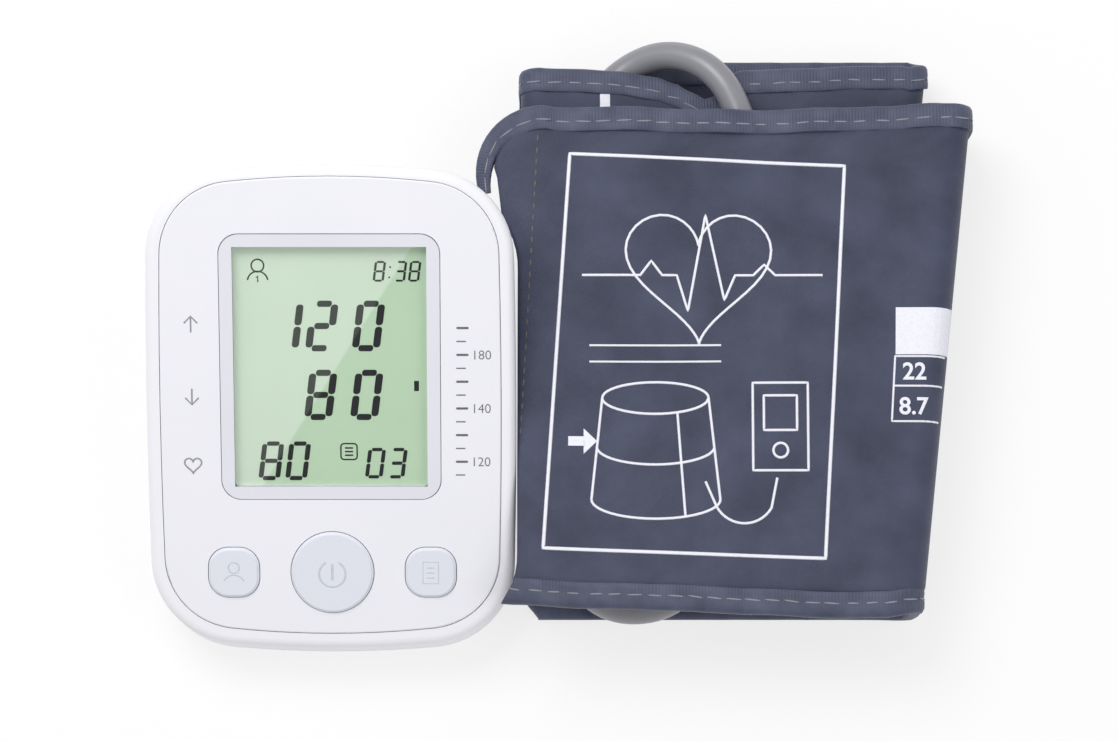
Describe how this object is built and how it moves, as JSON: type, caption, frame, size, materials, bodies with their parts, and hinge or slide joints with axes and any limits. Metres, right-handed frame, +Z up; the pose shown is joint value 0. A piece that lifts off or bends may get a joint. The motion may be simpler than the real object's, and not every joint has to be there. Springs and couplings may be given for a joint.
{
  "type": "upper arm blood pressure monitor",
  "caption": "Desktop blood pressure monitor with a tilted display, push buttons and an air pump, with its folded upper arm cuff and air hose beside it.",
  "frame": {"origin": "middle of the footprint of the monitor and the folded cuff, on the table", "axes": "+X to the reader's right, from the monitor to the cuff, +Y away from the reader, +Z up"},
  "size_m": [0.2266, 0.1708, 0.0627],
  "materials": {
    "white_abs": "fine satin moulding",
    "cover_abs": "fine satin moulding",
    "button_abs": "satin",
    "lens": "clear polished acrylic",
    "border_print": "silver print behind the lens",
    "lcd": "pale green display glass",
    "diffuser": "milky light guide",
    "grey_plastic": "plain",
    "board": "green solder mask",
    "black_plastic": "plain",
    "steel": "plated",
    "aluminium": "plain",
    "rubber": "soft matt",
    "silicone": "translucent silicone",
    "cell_wrap": "plain wrap",
    "nylon": "coated slate blue nylon",
    "tape": "woven binding tape",
    "pile": "hook and loop pile",
    "bladder_sheet": "smooth sheet",
    "hose": "satin grey tube",
    "chrome": "bright"
  },
  "bodies": {
    "monitor": {"housing": "white_abs", "front_cover": "cover_abs", "display_lens": "lens", "lens_border": "border_print", "lcd_glass": "lcd", "light_guide": "diffuser", "lcd_connector": "rubber", "lcd_holder": "grey_plastic", "main_board": "board", "tact_switches": "black_plastic", "controller_chip": "black_plastic", "capacitors": "aluminium", "buzzer": "black_plastic", "board_screws": "steel", "case_screws": "steel", "pressure_sensor": "black_plastic", "air_manifold": "grey_plastic", "valve_coil": "steel", "air_jack": "grey_plastic", "pump_motor": "steel", "pump_head": "grey_plastic", "air_tubes": "silicone", "power_port": "steel", "port_board": "board", "battery_cells": "cell_wrap", "battery_springs": "steel", "contact_plates": "steel", "rubber_feet": "rubber"},
    "start_key": {"start_button": "button_abs"},
    "user_key": {"user_button": "button_abs"},
    "memory_key": {"memory_button": "button_abs"},
    "lid": {"battery_lid": "white_abs"},
    "rotor": {"pump_rotor": "steel"},
    "plunger": {"valve_plunger": "steel"},
    "cuff": {"base_layer": "nylon", "left_fold": "nylon", "middle_layer": "nylon", "bladder": "bladder_sheet", "inner_fold": "nylon", "core_layer": "nylon", "band_tape": "tape", "flap_fold": "nylon", "hook_patch": "pile", "loop_patch": "pile", "metal_ring": "chrome", "air_hose": "hose", "hose_port": "grey_plastic", "air_plug": "grey_plastic", "plug_nozzle": "grey_plastic"},
    "cuff_flap": {"flap": "nylon", "flap_tape": "tape"}
  },
  "joints": [
    {"name": "start_press", "type": "slide", "parent": "monitor", "child": "start_key", "axis": [0, 0.342, -0.9397], "range_m": [0, 0.0008], "stiffness_N_per_m": 1500, "springref_m": -0.0004},
    {"name": "user_press", "type": "slide", "parent": "monitor", "child": "user_key", "axis": [0, 0.342, -0.9397], "range_m": [0, 0.0008], "stiffness_N_per_m": 1500, "springref_m": -0.0004},
    {"name": "memory_press", "type": "slide", "parent": "monitor", "child": "memory_key", "axis": [0, 0.342, -0.9397], "range_m": [0, 0.0008], "stiffness_N_per_m": 1500, "springref_m": -0.0004},
    {"name": "lid_hinge", "type": "hinge", "parent": "monitor", "child": "lid", "pos_m": [-0.0633, -0.04849, 0.001], "axis": [-1, 0, 0], "range_deg": [0, 70]},
    {"name": "pump_spin", "type": "hinge", "parent": "monitor", "child": "rotor", "pos_m": [-0.0633, 0.02111, 0.0162], "axis": [1, 0, 0], "continuous": true},
    {"name": "valve_slide", "type": "slide", "parent": "monitor", "child": "plunger", "axis": [1, 0, 0], "range_m": [0, 0.0008], "stiffness_N_per_m": 400, "springref_m": -0.0003},
    {"name": "cuff_slide", "type": "slide", "parent": "monitor", "child": "cuff", "axis": [1, 0, 0], "range_m": [0, 0.15]},
    {"name": "flap_hinge", "type": "hinge", "parent": "cuff", "child": "cuff_flap", "pos_m": [0.10051, -0.00529, 0.01715], "axis": [0.1123, 0.9937, 0], "range_deg": [0, 180], "deforming": ["flap_fold"]}
  ]
}
